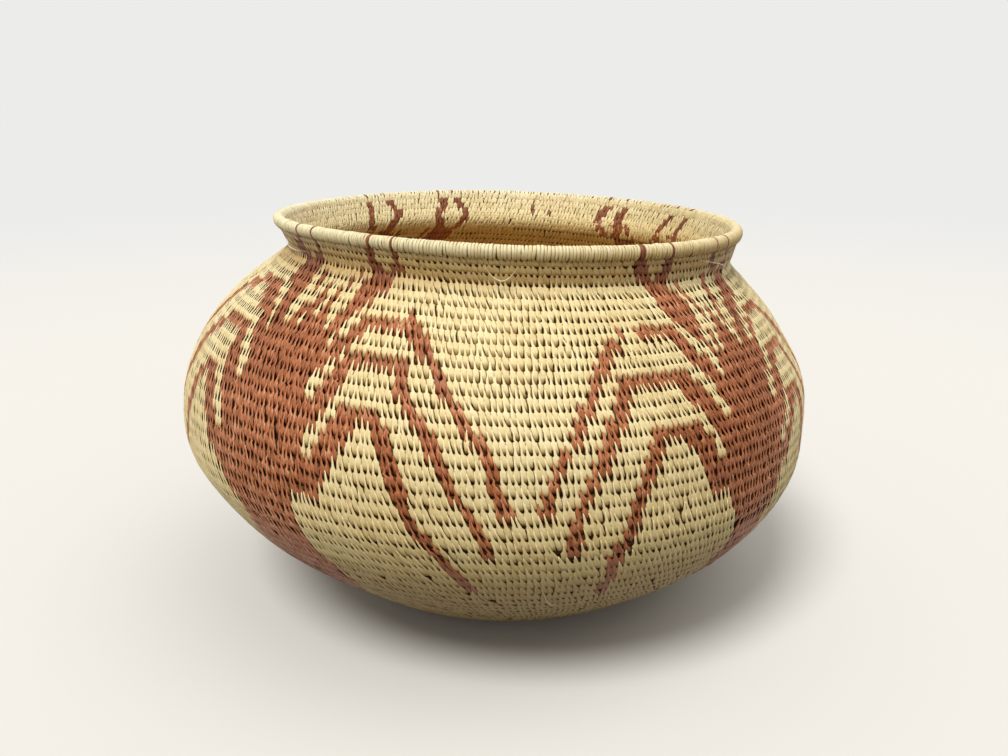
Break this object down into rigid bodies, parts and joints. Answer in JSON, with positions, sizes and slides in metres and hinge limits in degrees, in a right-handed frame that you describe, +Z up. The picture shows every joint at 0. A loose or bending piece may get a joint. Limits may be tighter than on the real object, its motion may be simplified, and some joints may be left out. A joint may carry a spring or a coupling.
{
  "type": "coiled basket",
  "caption": "Wide round coiled basket with a rounded belly, a short flared neck and a bound rim; it stands on a small flat base and holds loose things.",
  "frame": {"origin": "middle of the flat base, on the surface that the basket stands on", "axes": "+Z up the basket's axis towards the mouth; +X to the right in the picture; +Y away from the viewer"},
  "size_m": [0.2543, 0.2542, 0.1624],
  "materials": {
    "natural_fibre": "split plant fibre, pale straw, dry and satin",
    "dyed_fibre": "split plant fibre dyed rust red, satin",
    "foundation_bundle": "bundle of fine grass stems"
  },
  "bodies": {
    "root": {"start_knot": "foundation_bundle", "base_turn_01": "natural_fibre", "base_turn_02": "natural_fibre", "base_turn_03": "natural_fibre", "base_turn_04": "natural_fibre", "base_turn_05": "natural_fibre", "base_turn_06": "natural_fibre", "base_turn_07": "natural_fibre", "base_turn_08": "natural_fibre", "base_turn_09": "natural_fibre", "lower_wall_turn_10": "natural_fibre", "lower_wall_turn_11": "natural_fibre", "lower_wall_turn_12": "natural_fibre", "lower_wall_turn_13": "natural_fibre", "lower_wall_turn_14": "natural_fibre", "lower_wall_turn_15": "natural_fibre", "lower_wall_turn_16": "natural_fibre", "lower_wall_turn_17": "natural_fibre", "lower_wall_turn_18": "natural_fibre", "lower_wall_turn_19": "natural_fibre", "lower_wall_turn_20": "natural_fibre", "lower_wall_turn_21": "natural_fibre", "lower_wall_turn_22": "natural_fibre", "lower_wall_turn_23": "natural_fibre", "lower_wall_turn_24": "natural_fibre", "lower_wall_turn_25": "natural_fibre", "lower_wall_turn_26": "natural_fibre", "lower_wall_turn_27": "natural_fibre", "lower_wall_turn_28": "natural_fibre", "lower_wall_turn_29": "natural_fibre", "lower_wall_turn_30": "natural_fibre", "lower_wall_turn_31": "natural_fibre", "lower_wall_turn_32": "natural_fibre", "lower_wall_turn_33": "natural_fibre", "lower_wall_turn_34": "natural_fibre", "shoulder_turn_35": "natural_fibre", "shoulder_turn_36": "natural_fibre", "shoulder_turn_37": "natural_fibre", "shoulder_turn_38": "natural_fibre", "shoulder_turn_39": "natural_fibre", "shoulder_turn_40": "natural_fibre", "shoulder_turn_41": "natural_fibre", "shoulder_turn_42": "natural_fibre", "shoulder_turn_43": "natural_fibre", "shoulder_turn_44": "natural_fibre", "shoulder_turn_45": "natural_fibre", "shoulder_turn_46": "natural_fibre", "shoulder_turn_47": "natural_fibre", "shoulder_turn_48": "natural_fibre", "shoulder_turn_49": "natural_fibre", "shoulder_turn_50": "natural_fibre", "neck_turn_51": "natural_fibre", "neck_turn_52": "natural_fibre", "neck_turn_53": "natural_fibre", "rim_coil": "foundation_bundle", "rim_binding": "natural_fibre"}
  },
  "joints": []
}
